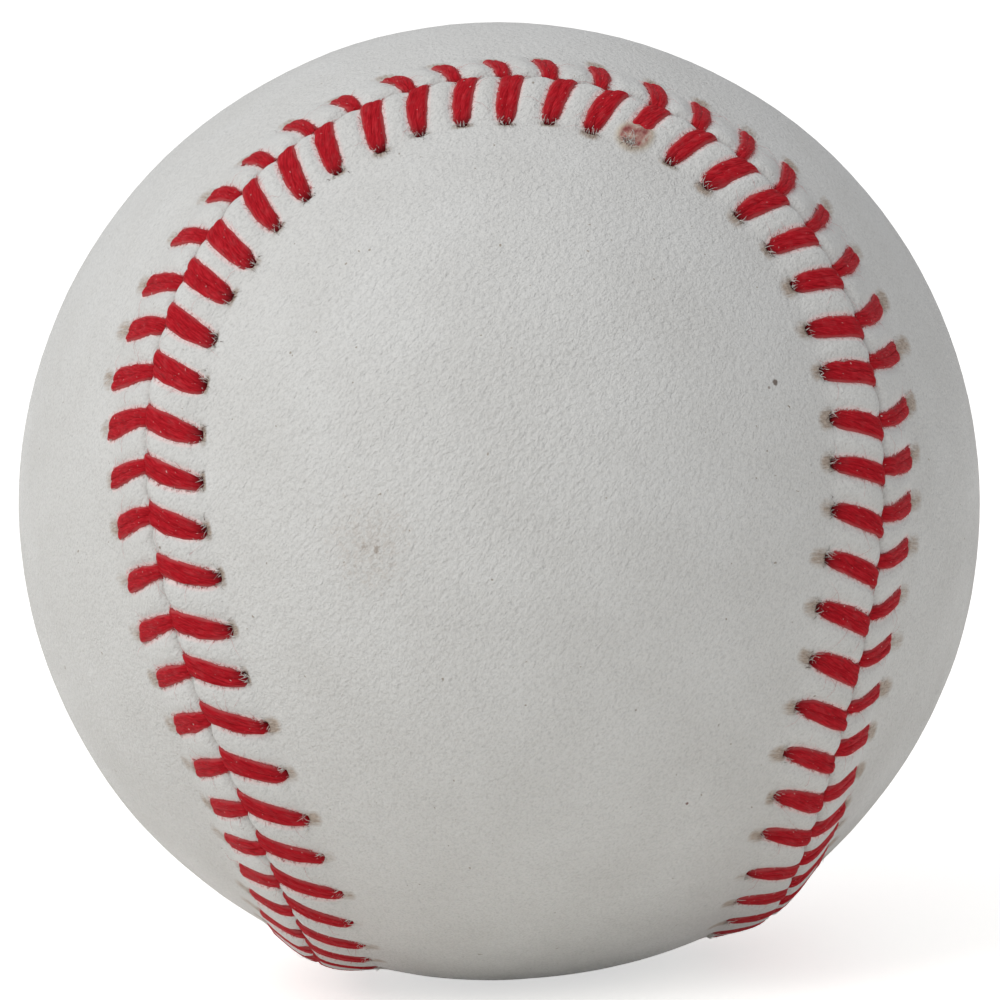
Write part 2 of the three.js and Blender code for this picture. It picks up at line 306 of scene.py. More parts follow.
def seam_axes(u):
    """Unit vectors out of the ball, forward along the seam, and across it to the upper cover."""
    out = unit(seam_wave(u))
    slope = seam_slope(u)
    ahead = unit(slope - out * np.sum(out * slope, axis=-1, keepdims=True))
    return out, ahead, np.cross(out, ahead)


table_u = np.linspace(-math.pi / 2, 3 * math.pi / 2, SEAM_TABLE + 1)
table_out, table_ahead, table_aside = seam_axes(table_u)
table_steps = np.linalg.norm(np.diff(table_out, axis=0), axis=1) * BALL_RADIUS
table_along = np.concatenate([[0], np.cumsum(table_steps)])
SEAM_LENGTH = table_along[-1]
PITCH = SEAM_LENGTH / STITCHES
table_turning = np.gradient(table_ahead, table_along / BALL_RADIUS, axis=0)
table_bend = np.sum(table_turning * table_aside, axis=1)


def stitch_number(along):
    return (along - FIRST_HOLE) / PITCH


def seam_stray(along):
    number = np.mod(stitch_number(along), STITCHES)
    return STRAY * (smooth(*STRAY_STARTS, number) - smooth(*STRAY_ENDS, number))


def directions(along, across):
    """Unit vectors from the ball's middle to places beside the seam."""
    u = np.interp(np.mod(along, SEAM_LENGTH), table_along, table_u)
    out, _, aside = seam_axes(u)
    angle = (across + seam_stray(along))[..., None] / BALL_RADIUS
    return out * np.cos(angle) + aside * np.sin(angle)


def spread(along, across):
    """How much longer a step along the seam is at a distance to its side."""
    bend = np.interp(np.mod(along, SEAM_LENGTH), table_along, table_bend)
    angle = across / BALL_RADIUS
    return np.cos(angle) - bend * np.sin(angle)


def varied(amount):
    """A small random difference for each stitch."""
    return rng.normal(0, amount, STITCHES)


@dataclass
class Cover:
    """One cover's side of the seam: its holes, and how the leg from each hole lies."""

    name: str
    side: int
    lobe_tip: float
    sewing: np.ndarray
    leg: np.ndarray
    leg_half: float
    roll: float
    tuck: float
    hole_half: float
    hole_depth: float
    smear_half: float
    # Where a leg darkens towards its hole, as grime and painted shade, and towards the seam, as painted
    # shade
    hole_soil: tuple
    seam_soil: tuple

    def __post_init__(self):
        self.along = FIRST_HOLE + PITCH * EVERY_STITCH + self.sewn(DRIFT) + varied(DRIFT_SPREAD)
        self.across = self.sewn(DISTANCE) + varied(DISTANCE_SPREAD)
        self.lead = self.sewn(LEAD) + varied(LEAD_SPREAD)
        self.leg_half = self.leg_half * self.sewn(WIDTH) * (1 + varied(WIDTH_SPREAD))
        self.slant = self.sewn(SLANT)
        self.parting = rng.uniform(*PARTING_RANGE, STITCHES)
        self.twist = varied(TWIST_SPREAD)
        self.soil = np.clip(SOIL_MEAN + varied(SOIL_SPREAD), *SOIL_RANGE)
        self.smear = self.sewn(SMEAR) * (1 + varied(SMEAR_SPREAD))
        self.smear_shift = self.sewn(SMEAR_SHIFT) + varied(SMEAR_SHIFT_SPREAD)
        self.grime_and_shade = self.sewn(GRIME_AND_SHADE)

    def sewn(self, column, number=EVERY_STITCH):
        """One of the sewing's values, between the stitches that it is set at."""
        return np.interp(number, self.sewing[:, 0], self.sewing[:, column], period=STITCHES)

    def lean(self, reach):
        """The share of its lead that a leg has at a share of the way out to its hole."""
        if self.side < 0:
            return np.clip(1 - reach, 0, None) ** LEG_CURVE
        return 1 - np.clip(reach, 0, None) ** LEG_CURVE

    def nearest_leg(self, along, across):
        """The stitch whose leg is nearest, and the distance forward from that leg's middle line."""
        number = stitch_number(along)
        lean = self.lean(np.clip(across / self.sewn(DISTANCE, number), 0, 1))
        hole_line = np.mod(along - self.sewn(LEAD, number) * lean, SEAM_LENGTH)
        before, after = self.along[-1:] - SEAM_LENGTH, self.along[:1] + SEAM_LENGTH
        around = np.concatenate([before, self.along, after])
        nearest = np.round(np.interp(hole_line, around, np.arange(-1, STITCHES + 1)))
        stitch = nearest.astype(int) % STITCHES
        middle = self.along[stitch] + self.lead[stitch] * lean
        offset = np.mod(along - middle + SEAM_LENGTH / 2, SEAM_LENGTH) - SEAM_LENGTH / 2
        return stitch, offset * spread(along, self.side * across)

    def leg_width(self, stitch, reach):
        """A leg's half width at a share of the way out to its hole."""
        return np.interp(reach, self.leg[::-1, 0], self.leg[::-1, 2]) * self.leg_half[stitch]


class Place:
    """Places beside the seam: how far from it, from the nearest leg, and past that leg's hole."""

    def __init__(self, cover, along, across):
        self.cover = cover
        self.along = along
        self.across = across
        self.stitch, self.offset = cover.nearest_leg(along, across)
        self.past = across - cover.across[self.stitch]


LOWER = Cover(
    "lower_cover",
    side=-1,
    lobe_tip=0.0,
    sewing=np.array(LOWER_SEWING),
    leg=np.array(LOWER_LEG),
    leg_half=0.88,
    roll=0.20,
    tuck=0.0,
    hole_half=0.30,
    hole_depth=0.5,
    smear_half=0.70,
    hole_soil=(0.17, 0.40),
    seam_soil=(0.86, 1.0),
)
UPPER = Cover(
    "upper_cover",
    side=1,
    lobe_tip=0.25,
    sewing=np.array(UPPER_SEWING),
    leg=np.array(UPPER_LEG),
    leg_half=0.83,
    roll=0.04,
    tuck=0.14,
    hole_half=0.50,
    hole_depth=0.15,
    smear_half=0.85,
    hole_soil=(0.05, 0.22),
    seam_soil=(0.80, 1.0),
)


def make_waves(count, shortest, longest):
    """Directions and phases of waves that add up to a smooth random relief."""
    lengths = np.exp(rng.uniform(math.log(shortest), math.log(longest), count))
    headings = unit(rng.normal(size=(count, 3)))
    return headings * (2 * math.pi * BALL_RADIUS / lengths)[:, None], rng.uniform(0, 2 * math.pi, count)


LUMPS = make_waves(count=24, shortest=9, longest=30)
CREASES = make_waves(count=40, shortest=2.0, longest=5.0)


def wave_sum(waves, towards):
    headings, phases = waves
    total = np.zeros(towards.shape[:-1])
    for heading, phase in zip(headings, phases):
        total += np.sin(towards @ heading + phase)
    return total / math.sqrt(len(phases))


def panel_height(towards):
    """The relief that the whole cover has: soft lumps, and the flat that the lower neck has lain on."""
    below = np.arccos(np.clip(-towards[..., 2], -1, 1))
    flat = NECK_FLAT * np.exp(-((below / NECK_FLAT_ANGLE) ** 2))
    return LUMP_HEIGHT * wave_sum(LUMPS, towards) + CREASE_HEIGHT * wave_sum(CREASES, towards) - flat


def ridge_height(across):
    return RIDGE_HEIGHT * (1 - smooth(RIDGE_TOP, RIDGE_FOOT, np.abs(across)))


def seam_height(place):
    """The relief beside the seam: the ridge, the puffs between the legs, the holes and the wax."""
    cover, across = place.cover, place.across
    half_gap = PITCH / 2 * spread(place.along, cover.side * across)
    puff = smooth(*PUFF_FLANK, np.abs(place.offset) / half_gap)
    swell = smooth(*PUFF_START, across) * (1 - smooth(*PUFF_END, across))
    inside_roll = np.clip(1 - across / cover.roll, 0, 1)
    roll = cover.roll * (1 - np.sqrt(1 - inside_roll ** 2))
    tuck = cover.tuck * (1 - smooth(0, TUCK_WIDTH, across))
    wax = wax_lump(place)
    pit = cover.hole_depth * hole_pit(place) * (1 - wax)
    lip = LIP_HEIGHT * hole_lip(place)
    return ridge_height(across) + PUFF_HEIGHT * puff * swell - roll - tuck - pit + lip + WAX_HEIGHT * wax


def hole_pit(place):
    """1 at the bottom of an awl hole: a ramp under the leg, and a steep wall beyond it."""
    ramp = smooth(*PIT_RAMP, place.past) * (1 - smooth(*PIT_WALL, place.past))
    return ramp * (1 - smooth(*PIT_SIDES, np.abs(place.offset) / place.cover.hole_half))


def hole_lip(place):
    """1 on the crest of the leather that the awl has pushed up beyond a hole."""
    cover = place.cover
    distance = np.hypot(place.past, np.maximum(np.abs(place.offset) - cover.hole_half / 2, 0))
    crest = np.exp(-(((distance - LIP_DISTANCE) / LIP_WIDTH) ** 2))
    return crest * smooth(*LIP_START, place.past) * cover.soil[place.stitch]


def wax_lump(place):
    """1 in the middle of the wax over the clogged hole."""
    along_middle, along_half = WAX_ALONG
    past_middle, past_half = WAX_PAST
    along = (place.offset - along_middle) / along_half
    past = (place.past - past_middle) / past_half
    lump = np.exp(-(along ** 2 + past ** 2) ** 2)
    return np.where((place.stitch == WAXED_STITCH) & (place.cover.side < 0), lump, 0)


def smudge(place):
    """The waxy smear beyond each hole, from 0 to 1."""
    cover, stitch, past = place.cover, place.stitch, place.past
    sideways = (place.offset - cover.smear_shift[stitch] * smooth(*SMEAR_BEND, past)) / cover.smear_half
    fade = smooth(*SMEAR_START, past) * (1 - smooth(*SMEAR_END, past / cover.smear[stitch]))
    strength = cover.soil[stitch] * (CLEAN_SMEAR + (1 - CLEAN_SMEAR) * cover.grime_and_shade[stitch])
    return strength * fade * np.exp(-(sideways ** 2))


def leather_shade_and_darkening(place):
    """How dark the leather is: painted shade in the pits and along the cover's edge, and darkening beside
    the holes.
    """
    depth = place.cover.hole_depth
    # Painted shade in the awl hole's pit
    pit = depth / DARK_DEPTH * hole_pit(place)
    # Darkening beside the hole, in its smear
    beside_hole = HOLE_SIDE_DARKENING * depth * smudge(place) * (1 - smooth(0, HOLE_SIDE_DARKENING_REACH, place.past))
    # Painted shade along the cover's edge at the seam
    edge = EDGE_SHADE * (1 - smooth(0, EDGE_SHADE_WIDTH, place.across))
    return place.cover.grime_and_shade[place.stitch] * (pit ** 2 + beside_hole) + edge


def thread_blush(place):
    """Painted red light that the thread throws on the leather: 1 at a leg's edge, and 0 where the leather
    is out of the thread's reach.
    """
    cover, stitch = place.cover, place.stitch
    beside = np.abs(place.offset) - cover.leg_width(stitch, place.across / cover.across[stitch])
    away = np.hypot(np.maximum(beside, 0), np.maximum(place.past, 0))
    return np.clip(1 - away / RED_BOUNCE_REACH, 0, 1)


def seam_shift(along, across):
    """How far the seam wanders: the lower cover's puffs push it towards the upper cover."""
    lead = LOWER.sewn(LEAD, stitch_number(along)) + LOWER.sewn(DRIFT, stitch_number(along))
    turn = 2 * math.pi * (along - FIRST_HOLE - lead) / PITCH
    return -SCALLOP * np.cos(turn) * np.exp(-((across / SCALLOP_REACH) ** 2))


# Mesh making
class Builder:
    """Collects points, faces and point values, and makes a smooth mesh object of them."""

    def __init__(self, values=()):
        self.points = []
        self.faces = []
        self.count = 0
        self.values = {name: [] for name in values}

    def add(self, points, **values):
        """Adds points of any grid shape, and returns their numbers in the same shape."""
        shape = points.shape[:-1]
        total = int(np.prod(shape))
        self.points.append(points.reshape(-1, 3))
        for name, kept in self.values.items():
            kept.append(np.broadcast_to(values.get(name, 0.0), shape).reshape(-1))
        ids = np.arange(self.count, self.count + total).reshape(shape)
        self.count += total
        return ids

    def fill(self, *corners, flip=False):
        """Adds a face for each set of corner numbers, turned over if flip is set."""
        if flip:
            corners = corners[:1] + corners[:0:-1]
        self.faces.extend(np.stack([np.ravel(corner) for corner in corners], axis=1).tolist())

    def object(self, name, material, corner_map=None):
        mesh = bpy.data.meshes.new(name)
        points = np.concatenate(self.points) * MM
        mesh.from_pydata(points.tolist(), [], self.faces)
        mesh.polygons.foreach_set("use_smooth", [True] * len(mesh.polygons))
        for label, kept in self.values.items():
            layer = mesh.attributes.new(label, "FLOAT", "POINT")
            layer.data.foreach_set("value", np.concatenate(kept).astype(np.float32))
        if corner_map is not None:
            layer = mesh.uv_layers.new(name=STRAND_UV)
            layer.data.foreach_set("uv", corner_map.astype(np.float32).ravel())
        mesh.materials.append(material)
        mesh.update()
        made = bpy.data.objects.new(name, mesh)
        bpy.context.scene.collection.objects.link(made)
        return made


def close_band(builder, ids, flip):
    """Faces over a grid whose rows run round a closed loop."""
    after = np.roll(ids, -1, axis=0)
    builder.fill(ids[:, :-1], after[:, :-1], after[:, 1:], ids[:, 1:], flip=flip)


def halve_ring(builder, fine, coarse, flip):
    """Faces between a closed ring and one of half its points."""
    even, odd = fine[0::2], fine[1::2]
    after_even, after = np.roll(even, -1), np.roll(coarse, -1)
    for corners in ((even, odd, coarse), (odd, after, coarse), (odd, after_even, after)):
        builder.fill(*corners, flip=flip)


def fill_panel(builder, ring, points, lift, flip):
    """Rows across a cover's panel, from each point of its outline to the mirrored point."""
    count = len(ring)
    left = np.arange(1, count // 2)
    right = count - left
    shares = (np.arange(1, PANEL_COLUMNS) / PANEL_COLUMNS)[None, :, None]
    towards = unit(points[left][:, None] * (1 - shares) + points[right][:, None] * shares)
    height = panel_height(towards) + lift
    middle = builder.add(towards * (BALL_RADIUS + height)[..., None])
    rows = np.concatenate([ring[left][:, None], middle, ring[right][:, None]], axis=1)
    builder.fill(rows[:-1, :-1], rows[1:, :-1], rows[1:, 1:], rows[:-1, 1:], flip=flip)
    tip = np.full(PANEL_COLUMNS, ring[0])
    builder.fill(tip, rows[0, :-1], rows[0, 1:], flip=flip)
    tail = np.full(PANEL_COLUMNS, ring[count // 2])
    builder.fill(tail, rows[-1, 1:], rows[-1, :-1], flip=flip)


def cover_face(builder, cover, ids, distance, lift, flip):
    """Closes a face of the cover inwards from a fine ring: coarser and coarser rings, then the panel."""
    ring = ids
    while len(ring) > PANEL_SPOKES:
        count = len(ring) // 2
        distance += RING_STEP
        along = (cover.lobe_tip + np.arange(count) / count) * SEAM_LENGTH
        towards = directions(along, np.full(count, cover.side * distance))
        height = panel_height(towards) + lift
        points = towards * (BALL_RADIUS + height)[:, None]
        coarse = builder.add(points)
        halve_ring(builder, ring, coarse, flip)
        ring = coarse
    fill_panel(builder, ring, unit(points), lift, flip)


def band_columns(cover):
    """Distances from the seam of the points across a cover's fine band."""
    holes_from, holes_to = HOLE_BAND
    return np.concatenate([
        cover.roll * (1 - np.cos(np.linspace(0, math.pi / 2, ROLL_COLUMNS))),
        np.linspace(cover.roll, holes_from, FLANK_COLUMNS)[1:],
        np.linspace(holes_from, holes_to, HOLE_COLUMNS)[1:],
        np.linspace(holes_to, BAND_WIDTH, FOOT_COLUMNS)[1:],
    ])


def make_cover(cover, material):
    """A closed cover: rolled edge, ridge, puffs and holes in a fine band, then the smooth panel."""
    flip = cover.side < 0
    builder = Builder(values=("soil", "dark", "wax", "blush", "beside", "past"))
    count = STITCHES * SAMPLES_PER_STITCH
    rows = (cover.lobe_tip + np.arange(count) / count) * SEAM_LENGTH
    along, distance = np.meshgrid(rows, band_columns(cover), indexing="ij")
    across = cover.side * (distance + SEAM_GAP / 2) + seam_shift(along, distance)
    towards = directions(along, across)
    place = Place(cover, along, distance)
    height = seam_height(place) + panel_height(towards)
    band = builder.add(
        towards * (BALL_RADIUS + height)[..., None],
        soil=smudge(place),
        dark=leather_shade_and_darkening(place),
        wax=wax_lump(place),
        blush=thread_blush(place),
        beside=place.offset + SMEAR_VARIETY * place.stitch,
        past=distance,
    )
    close_band(builder, band, flip)

    edge_towards = directions(rows, across[:, 0] + cover.side * EDGE_UNDERCUT)
    # Painted shade on the cut edge down in the seam gap
    edge = builder.add(edge_towards * (BALL_RADIUS - LEATHER_THICKNESS), dark=EDGE_DARK)
    close_band(builder, np.stack([edge, band[:, 0]], axis=1), flip)

    cover_face(builder, cover, band[:, -1], BAND_WIDTH, 0.0, flip)
    cover_face(builder, cover, edge, FLESH_INSET, -LEATHER_THICKNESS, not flip)
    return builder.object("leather_" + cover.name, material)


def panel_level(cover, along, across):
    """How far the whole cover's relief lifts a place beside the seam."""
    return panel_height(directions(along, cover.side * across))


def leather_top(cover, along, across):
    """The cover's surface height at places beside the seam."""
    return seam_height(Place(cover, along, across)) + panel_level(cover, along, across)


def ridge_top(cover, along, across):
    """The height that the legs lie at: the ridge's, without its puffs and pits."""
    return ridge_height(across) + panel_level(cover, along, across)


# The thread
def curve_through(keys, samples):
    """Points on a smooth curve through hand-set keys, evenly spread over them."""
    padded = np.concatenate([2 * keys[:1] - keys[1:2], keys, 2 * keys[-1:] - keys[-2:-1]])
    place = np.linspace(0, len(keys) - 1, samples)
    k = np.minimum(place.astype(int), len(keys) - 2)
    t = (place - k)[:, None]
    a, b, c, d = (padded[k + i] for i in range(4))
    return 0.5 * (2 * b + (c - a) * t + (2 * a - 5 * b + 4 * c - d) * t ** 2
                  + (3 * b - a - 3 * c + d) * t ** 3)


def leg_paths(cover, other, next_stitch):
    """Along, across, up, width and thickness for each ring of each leg, on to the next hole."""
    shape = curve_through(cover.leg, LEG_RINGS)
    reach = shape[None, :, 0]
    across = cover.across[:, None] * reach
    along = cover.along[:, None] + cover.lead[:, None] * cover.lean(reach)
    up = ridge_height(across) + shape[None, :, 1]
    width = cover.leg_half[:, None] * shape[None, :, 2]
    thick = np.broadcast_to(shape[None, :, 3], across.shape)

    share = (np.arange(1, HIDDEN_RINGS + 1) / (HIDDEN_RINGS + 1))[None, :]
    end_along = other.along[next_stitch][:, None]
    end_along = np.where(end_along < along[:, -1:] - SEAM_LENGTH / 2, end_along + SEAM_LENGTH, end_along)
    end_across = -other.across[next_stitch][:, None]
    hidden = (STITCHES, HIDDEN_RINGS)
    joined = (
        (along, along[:, -1:] * (1 - share) + end_along * share),
        (across, across[:, -1:] * (1 - share) + end_across * share),
        (up, np.full(hidden, UNDER_LEATHER)),
        (width, np.broadcast_to(width[:, -1:], hidden)),
        (thick, np.broadcast_to(thick[:, -1:], hidden)),
    )
    return [np.concatenate(pair, axis=1) for pair in joined]


def strand_points(cover, paths, strand):
    """Rings of points round one strand of every leg of a cover, and on under the leather."""
    along, across, up, width, thick = paths
    step_across = np.gradient(across, axis=1)
    step_up = np.gradient(up, axis=1)
    length = np.hypot(step_across, step_up)
    crown_across, crown_up = step_up / length, -step_across / length

    turn = cover.twist[:, None] * np.sin(2 * math.pi * LEG_SHARES) + LEG_TURN * np.sin(math.pi * LEG_SHARES)
    cosine, sine = np.cos(STRAND_ANGLES), -cover.side * np.sin(STRAND_ANGLES)
    sideways = STRAND_WIDTH * np.sign(cosine) * np.abs(cosine) ** STRAND_SQUARE * width[..., None]
    outwards = STRAND_THICKNESS * np.sign(sine) * np.abs(sine) ** STRAND_SQUARE * thick[..., None]
    apart = strand * cover.parting[:, None] * width
    sideways = sideways + (apart * np.cos(turn))[..., None]
    outwards = outwards + (apart * np.sin(turn))[..., None]
    sideways = sideways + rng.normal(0, STRAND_RAGGED, sideways.shape)
    slant = cover.slant[:, None] * smooth(*SLANT_REACH, across / cover.across[:, None])

    stretch = spread(along, cover.side * across)[..., None]
    place_along = along[..., None] + sideways / stretch
    beyond = outwards * crown_across[..., None] - slant[..., None] * sideways
    place_across = cover.side * (across[..., None] + beyond)
    place_up = up[..., None] + outwards * crown_up[..., None]
    level = panel_level(cover, along, across)[..., None]
    towards = directions(place_along, place_across)
    return towards * (BALL_RADIUS + place_up + level)[..., None]


def strand_map(rings, strand):
    """Where each face corner lies: millimetres along its strand, and round it with the yarn's twist."""
    middles = rings.mean(axis=1)
    steps = np.linalg.norm(np.roll(middles, -1, axis=0) - middles, axis=1)
    start = np.concatenate([[0], np.cumsum(steps)])
    sides = np.arange(STRAND_SIDES + 1) / STRAND_SIDES * YARN_GIRTH
    u, v = np.meshgrid(start, sides, indexing="ij")
    grid = np.stack([u, v + YARN_TWIST * u + STRAND_VARIETY * strand], axis=-1)
    corners = [grid[:-1, :-1], grid[1:, :-1], grid[1:, 1:], grid[:-1, 1:]]
    return np.stack(corners, axis=2).reshape(-1, 2)


def leg_soil(cover, grime_and_shade):
    """How dark a leg is at each ring: near its hole by the hole's grime, as grime and painted shade, and as
    painted shade where it goes down at the seam.
    """
    at_hole = 1 - smooth(*cover.hole_soil, LEG_SHARES)
    return grime_and_shade[:, None] * at_hole + smooth(*cover.seam_soil, LEG_SHARES)


def make_thread(material):
    """The whole thread: two waxed strands side by side, over each leg and under to the next hole."""
    builder = Builder(values=("soil", "edge"))
    lower_paths = leg_paths(LOWER, UPPER, (EVERY_STITCH + 1) % STITCHES)
    upper_paths = leg_paths(UPPER, LOWER, EVERY_STITCH)
    soils = [leg_soil(LOWER, LOWER.grime_and_shade), leg_soil(UPPER, np.ones(STITCHES))]
    soil = np.stack(soils, axis=1).reshape(-1, 1)
    corner_maps = []
    for strand in (-1, 1):
        lower = strand_points(LOWER, lower_paths, strand)
        upper = np.roll(strand_points(UPPER, upper_paths, strand), -1, axis=0)
        rings = np.stack([lower, upper], axis=1).reshape(-1, STRAND_SIDES, 3)
        edge = smooth(*STRAND_EDGE, strand * np.cos(STRAND_ANGLES))
        ids = builder.add(rings, soil=soil, edge=edge)
        after = np.roll(ids, -1, axis=0)
        builder.fill(ids, after, np.roll(after, -1, axis=1), np.roll(ids, -1, axis=1))
        corner_maps.append(strand_map(rings, strand))
    return builder.object("waxed_stitch_thread", material, np.concatenate(corner_maps))


# Loose fibres; each kind has its ranges of places, headings in radians, rises and bows

# Thread fuzz: its roots stand near a leg's edge and its tips lie beside the leg
FUZZ_EDGE = (0.8, 1.0)
FUZZ_TURN = 1.1
FUZZ_ROOT_LIFT = 0.05
FUZZ_TIP_FROM_SEAM = 0.1
FUZZ_RISE = (0.0, 0.25)
FUZZ_RISE_LENGTH = 0.5
FUZZ_BOW = (0.05, 0.2)

# Torn fibres round a hole: their spread in shares of its half width, and past its middle
TEAR_SPREAD = 1.1
TEAR_PAST = (0.02, 0.16)
TEAR_SHORTEST = 0.2
TEAR_TURN = 0.8
LYING_RISE = (0.0, 0.05)
LAPPING_RISE = (0.05, 0.36)
TEAR_BOW = (0.0, 0.25)
TEAR_THINNEST = 0.010

# Fibres that lap over a leg's edges, most of them near its hole
LAP_REACH = 0.7
LAP_CROWDING = (0.15, 1)
LAP_EDGE = (1.0, 1.1)
LAP_LENGTH = (0.15, 0.4)
LAP_TURN = 1.2
LAP_RISE = (0.08, 0.2)
LAP_BOW = (0.0, 0.1)
LAP_THINNEST = 0.012

# A hole this grimy has bristles
BRISTLE_GRIME = 0.75


def make_hairs(name, hairs, material):
    """Thin tapered hairs, each bowed up from its root over to its tip."""
    builder = Builder()
    roots, tips, bow, radius = (np.concatenate(parts) for parts in zip(*hairs))
    share = np.linspace(0, 1, HAIR_RINGS)[None, :, None]
    path = roots[:, None] * (1 - share) + tips[:, None] * share
    path[..., 2] += bow[:, None] * (4 * share * (1 - share))[..., 0]
    towards = directions(path[..., 0], path[..., 1])
    middles = towards * (BALL_RADIUS + path[..., 2])[..., None]
    heading = unit(np.gradient(middles, axis=1))
    sideways = unit(np.cross(heading, towards))
    upwards = np.cross(sideways, heading)
    angle = (np.arange(HAIR_SIDES) / HAIR_SIDES * 2 * math.pi)[None, None, :, None]
    round_about = np.cos(angle) * sideways[:, :, None] + np.sin(angle) * upwards[:, :, None]
    taper = (radius[:, None, None] * (1 - HAIR_TAPER * share))[..., None]
    ids = builder.add(middles[:, :, None] + taper * round_about)
    turned = np.roll(ids, -1, axis=2)
    builder.fill(ids[:, :-1], ids[:, 1:], turned[:, 1:], turned[:, :-1])
    builder.fill(ids[:, 0, 0], ids[:, 0, 1], ids[:, 0, 2])
    builder.fill(ids[:, -1, 0], ids[:, -1, 2], ids[:, -1, 1])
    return builder.object(name, material)


def hair_ends(cover, along, across, up):
    return np.stack([along, cover.side * across, up], axis=1)


def leg_edge(cover, stitch, reach, edge):
    """Along and across at a share of the way out on a leg, and at a share of its half width aside."""
    along = cover.along[stitch] + cover.lead[stitch] * cover.lean(reach)
    across = cover.across[stitch] * reach
    aside = edge * cover.leg_width(stitch, reach)
    return along + aside / spread(along, cover.side * across), across


def thread_hairs(cover, per_leg, shortest, longest, radius, farthest=0.98):
    """The fuzz that rubs off the thread: roots on the legs, and tips beside them."""
    count = STITCHES * per_leg
    stitch = np.repeat(EVERY_STITCH, per_leg)
    side = rng.choice([-1, 1], count)
    reach = rng.uniform(0.0, farthest, count)
    along, across = leg_edge(cover, stitch, reach, side * rng.uniform(*FUZZ_EDGE, count))
    heading = rng.uniform(-FUZZ_TURN, FUZZ_TURN, count)
    length = np.exp(rng.uniform(math.log(shortest), math.log(longest), count))
    tip_along = along + side * length * np.cos(heading)
    tip_across = across + length * np.sin(heading)
    root_up = ridge_top(cover, along, across) + FUZZ_ROOT_LIFT
    tip_up = leather_top(cover, tip_along, np.maximum(tip_across, FUZZ_TIP_FROM_SEAM))
    tip_up += rng.uniform(*FUZZ_RISE, count) * np.minimum(length, FUZZ_RISE_LENGTH)
    roots = hair_ends(cover, along, across, root_up)
    tips = hair_ends(cover, tip_along, tip_across, tip_up)
    return roots, tips, rng.uniform(*FUZZ_BOW, count) * length, np.full(count, radius)


def hole_fibres(cover, stitches, per_hole, longest, thickest, outwards=False):
    """Fibres round these stitches' holes: the tips lie over the leg's end, or outwards on the leather."""
    count = len(stitches) * per_hole
    stitch = np.repeat(stitches, per_hole)
    along = cover.along[stitch] + rng.normal(0, TEAR_SPREAD, count) * cover.hole_half
    across = cover.across[stitch] + rng.normal(*TEAR_PAST, count)
    length = np.exp(rng.uniform(math.log(TEAR_SHORTEST), math.log(longest), count))
    heading = rng.normal(0, TEAR_TURN, count)
    tip_along = along + length * np.sin(heading)
    tip_across = across + (length if outwards else -length) * np.cos(heading)
    root_up = leather_top(cover, along, across)
    lying_up = leather_top(cover, tip_along, tip_across) + rng.uniform(*LYING_RISE, count)
    lapping_up = ridge_top(cover, tip_along, tip_across) + rng.uniform(*LAPPING_RISE, count)
    roots = hair_ends(cover, along, across, root_up)
    tips = hair_ends(cover, tip_along, tip_across, lying_up if outwards else lapping_up)
    bow = rng.uniform(*TEAR_BOW, count) * length
    return roots, tips, bow, rng.uniform(TEAR_THINNEST, thickest, count)


def edge_fibres(cover, per_leg, thickest):
    """Leather fibres that lap over the legs' edges."""
    count = STITCHES * per_leg
    stitch = np.repeat(EVERY_STITCH, per_leg)
    side = rng.choice([-1, 1], count)
    reach = 1 - LAP_REACH * rng.uniform(*LAP_CROWDING, count) ** 2
    along, across = leg_edge(cover, stitch, reach, side * rng.uniform(*LAP_EDGE, count))
    length = rng.uniform(*LAP_LENGTH, count)
    heading = rng.uniform(-LAP_TURN, LAP_TURN, count)
    tip_along = along - side * length * np.cos(heading)
    tip_across = across + length * np.sin(heading)
    root_up = leather_top(cover, along, across)
    tip_up = ridge_top(cover, tip_along, tip_across) + rng.uniform(*LAP_RISE, count)
    roots = hair_ends(cover, along, across, root_up)
    tips = hair_ends(cover, tip_along, tip_across, tip_up)
    bow = rng.uniform(*LAP_BOW, count) * length
    return roots, tips, bow, rng.uniform(LAP_THINNEST, thickest, count)


# Materials
# Where the Mix node has its colour sockets among all of its sockets
MIX_FACTOR, MIX_FIRST, MIX_SECOND, MIX_RESULT = 0, 6, 7, 2


